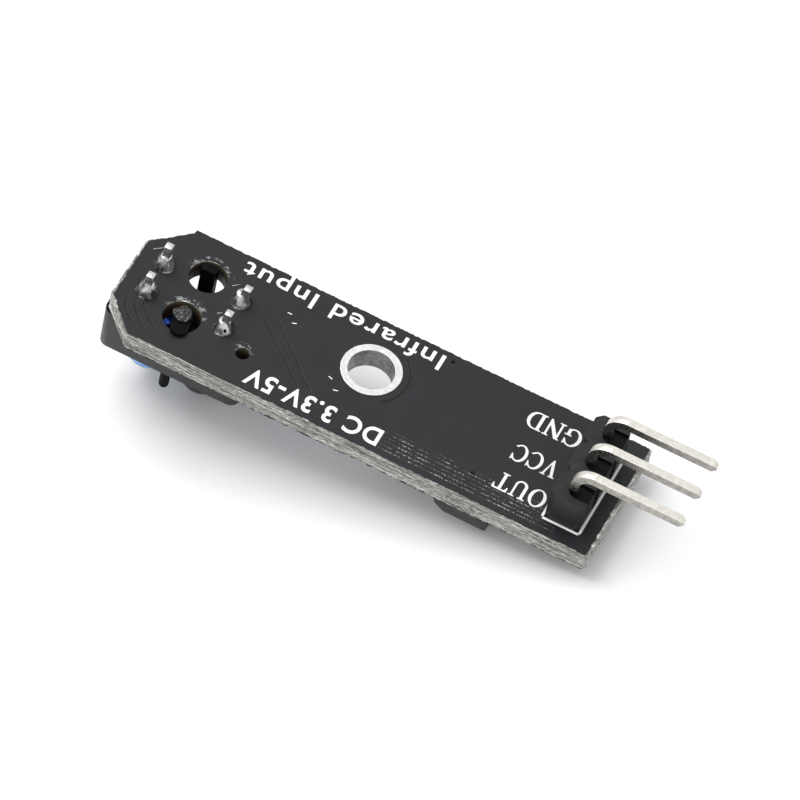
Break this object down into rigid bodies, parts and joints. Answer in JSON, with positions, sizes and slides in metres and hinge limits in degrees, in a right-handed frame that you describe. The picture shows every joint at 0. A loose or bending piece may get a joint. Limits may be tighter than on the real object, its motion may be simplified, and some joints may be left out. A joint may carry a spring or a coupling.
{
  "type": "line tracking sensor module",
  "caption": "Black circuit board with an infrared reflective sensor below one end, a silver-ringed mounting hole and a right-angle pin header on the label side.",
  "frame": {"origin": "centre of the plated mounting hole, on the label side of the board", "axes": "+X runs along the board from the sensor to the connector, +Z out of the label side; the sensor looks down along -Z"},
  "size_m": [0.0409, 0.0099, 0.0135],
  "materials": {
    "board_laminate": "satin black solder mask over glass-fibre laminate",
    "tin_plate": "bright tin plate",
    "header_plastic": "matt black nylon",
    "pin_metal": "tinned brass, slightly warm",
    "solder": "satin solder",
    "housing_plastic": "matt black plastic",
    "blue_resin": "clear blue resin",
    "black_resin": "gloss black resin",
    "chip_resin": "matt black moulding",
    "trimmer_plastic": "matt blue plastic",
    "rotor_metal": "satin plated steel",
    "resistor_glaze": "black glaze",
    "capacitor_ceramic": "tan ceramic",
    "lamp_resin": "clear pale resin",
    "gold_plate": "thin gold plate"
  },
  "bodies": {
    "board": {"circuit_board": "board_laminate", "hole_plating": "tin_plate", "pin_block": "header_plastic", "pin_ground": "pin_metal", "pin_supply": "pin_metal", "pin_output": "pin_metal", "pin_joint_ground": "solder", "pin_joint_supply": "solder", "pin_joint_output": "solder", "sensor_housing": "housing_plastic", "emitter_lamp": "blue_resin", "detector_lamp": "black_resin", "emitter_lead_far": "tin_plate", "emitter_lead_near": "tin_plate", "detector_lead_far": "tin_plate", "detector_lead_near": "tin_plate", "emitter_joint_far": "solder", "emitter_joint_near": "solder", "detector_joint_far": "solder", "detector_joint_near": "solder", "comparator_body": "chip_resin", "comparator_leads": "tin_plate", "trimmer_base": "trimmer_plastic", "trimmer_terminals": "tin_plate", "emitter_resistor": "resistor_glaze", "detector_resistor": "resistor_glaze", "output_resistor": "resistor_glaze", "signal_lamp_resistor": "resistor_glaze", "resistor_ends": "tin_plate", "supply_capacitor": "capacitor_ceramic", "capacitor_ends": "tin_plate", "signal_lamp": "lamp_resin", "signal_lamp_ends": "gold_plate"},
    "trimmer_rotor": {"trimmer_rotor": "rotor_metal"}
  },
  "joints": [
    {"name": "trimmer_turn", "type": "hinge", "parent": "board", "child": "trimmer_rotor", "pos_m": [-0.0052, -0.00088, -0.0021], "axis": [0, 0, 1], "range_deg": [-120, 120]}
  ]
}
